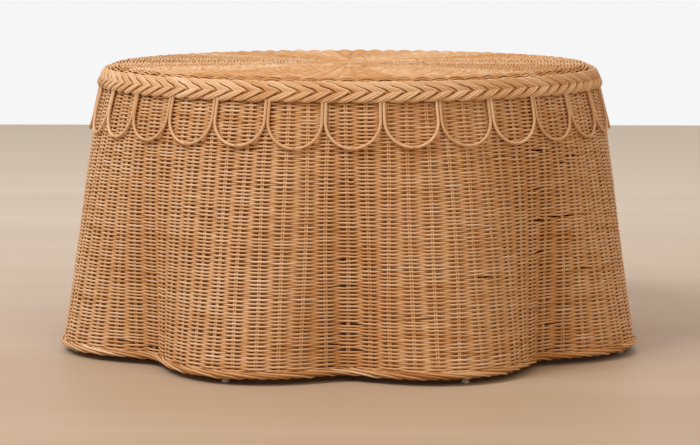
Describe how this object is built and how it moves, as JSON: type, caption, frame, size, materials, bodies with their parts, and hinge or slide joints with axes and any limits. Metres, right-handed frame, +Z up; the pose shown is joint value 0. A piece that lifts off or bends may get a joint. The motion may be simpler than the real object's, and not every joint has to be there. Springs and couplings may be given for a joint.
{
  "type": "woven rattan coffee table",
  "caption": "Round woven rattan coffee table with a plaited rim, cane scallops and a fluted skirt that flares to the floor like a tablecloth.",
  "frame": {"origin": "on the floor, under the middle of the table", "axes": "+Z up; the front of the table faces -Y, with a valley of the flutes in its middle"},
  "size_m": [0.9086, 0.9086, 0.4465],
  "materials": {
    "rattan_weave": "woven natural rattan core, satin",
    "rattan_plait": "plaited natural rattan core, satin",
    "rattan_cane": "round natural rattan cane, satin",
    "rattan_pole": "bent natural rattan pole, unvarnished",
    "plywood": "bare plywood",
    "clear_plastic": "clear moulded plastic"
  },
  "bodies": {
    "root": {"woven_top": "rattan_weave", "top_panel": "plywood", "rim_braid": "rattan_plait", "skirt": "rattan_weave", "hem_border": "rattan_plait", "top_ring": "rattan_pole", "middle_ring": "rattan_pole", "base_ring": "rattan_pole", "cross_rail": "rattan_pole", "cross_rail_front": "rattan_pole", "cross_rail_back": "rattan_pole", "leg_01": "rattan_pole", "leg_02": "rattan_pole", "leg_03": "rattan_pole", "leg_04": "rattan_pole", "leg_05": "rattan_pole", "leg_06": "rattan_pole", "leg_07": "rattan_pole", "leg_08": "rattan_pole", "glide_01": "clear_plastic", "glide_02": "clear_plastic", "glide_03": "clear_plastic", "glide_04": "clear_plastic", "glide_05": "clear_plastic", "glide_06": "clear_plastic", "glide_07": "clear_plastic", "glide_08": "clear_plastic", "scallop_01": "rattan_cane", "scallop_02": "rattan_cane", "scallop_03": "rattan_cane", "scallop_04": "rattan_cane", "scallop_05": "rattan_cane", "scallop_06": "rattan_cane", "scallop_07": "rattan_cane", "scallop_08": "rattan_cane", "scallop_09": "rattan_cane", "scallop_10": "rattan_cane", "scallop_11": "rattan_cane", "scallop_12": "rattan_cane", "scallop_13": "rattan_cane", "scallop_14": "rattan_cane", "scallop_15": "rattan_cane", "scallop_16": "rattan_cane", "scallop_17": "rattan_cane", "scallop_18": "rattan_cane", "scallop_19": "rattan_cane", "scallop_20": "rattan_cane", "scallop_21": "rattan_cane", "scallop_22": "rattan_cane", "scallop_23": "rattan_cane", "scallop_24": "rattan_cane", "scallop_25": "rattan_cane", "scallop_26": "rattan_cane", "scallop_27": "rattan_cane", "scallop_28": "rattan_cane", "scallop_29": "rattan_cane", "scallop_30": "rattan_cane"}
  },
  "joints": []
}
